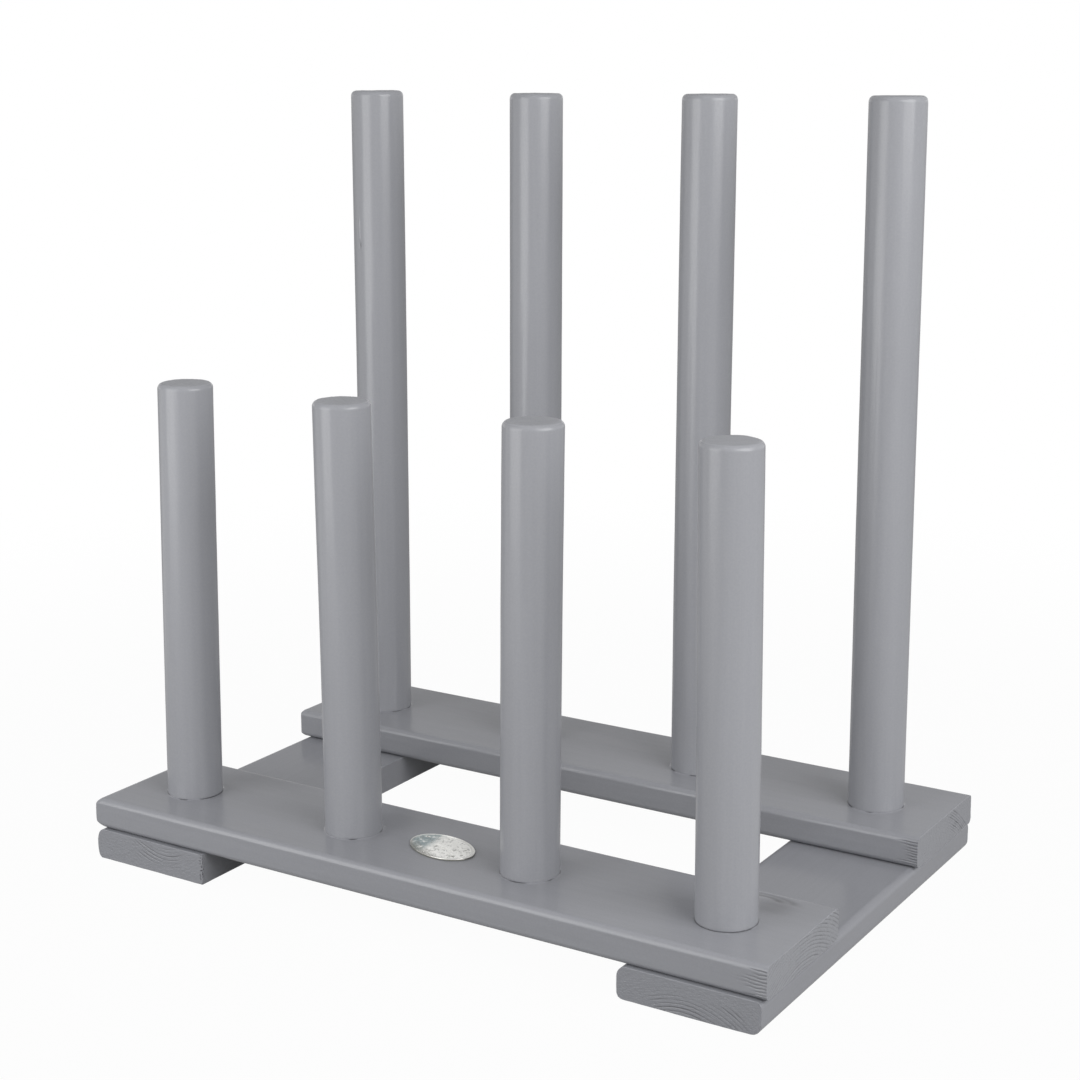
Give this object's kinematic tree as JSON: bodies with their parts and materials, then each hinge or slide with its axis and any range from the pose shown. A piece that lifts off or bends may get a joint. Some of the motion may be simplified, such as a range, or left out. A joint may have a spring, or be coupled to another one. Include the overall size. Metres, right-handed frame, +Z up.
{
  "type": "boot rack",
  "caption": "Freestanding painted wooden boot rack: two long rails on cross feet, short pegs in front and tall pegs behind for hanging boots upside down.",
  "frame": {"origin": "centre of the rack's footprint, on the surface that it stands on", "axes": "+X along the rails to the right as seen from the front, +Y from the short pegs to the tall pegs, +Z up along the pegs"},
  "size_m": [0.487, 0.314, 0.496],
  "materials": {
    "rail_paint": "satin grey paint over planed softwood",
    "foot_paint": "satin grey paint over planed softwood",
    "peg_paint": "satin grey paint over turned softwood dowel",
    "badge_pewter": "cast pewter, satin with a worn bright rim",
    "screw_zinc": "bright zinc plate"
  },
  "bodies": {
    "root": {"front_rail": "rail_paint", "back_rail": "rail_paint", "left_foot": "foot_paint", "right_foot": "foot_paint", "peg_front_1": "peg_paint", "peg_front_2": "peg_paint", "peg_front_3": "peg_paint", "peg_front_4": "peg_paint", "peg_back_1": "peg_paint", "peg_back_2": "peg_paint", "peg_back_3": "peg_paint", "peg_back_4": "peg_paint", "badge": "badge_pewter", "front_peg_screws": "screw_zinc", "back_peg_screws": "screw_zinc", "left_foot_screws": "screw_zinc", "right_foot_screws": "screw_zinc"}
  },
  "joints": []
}
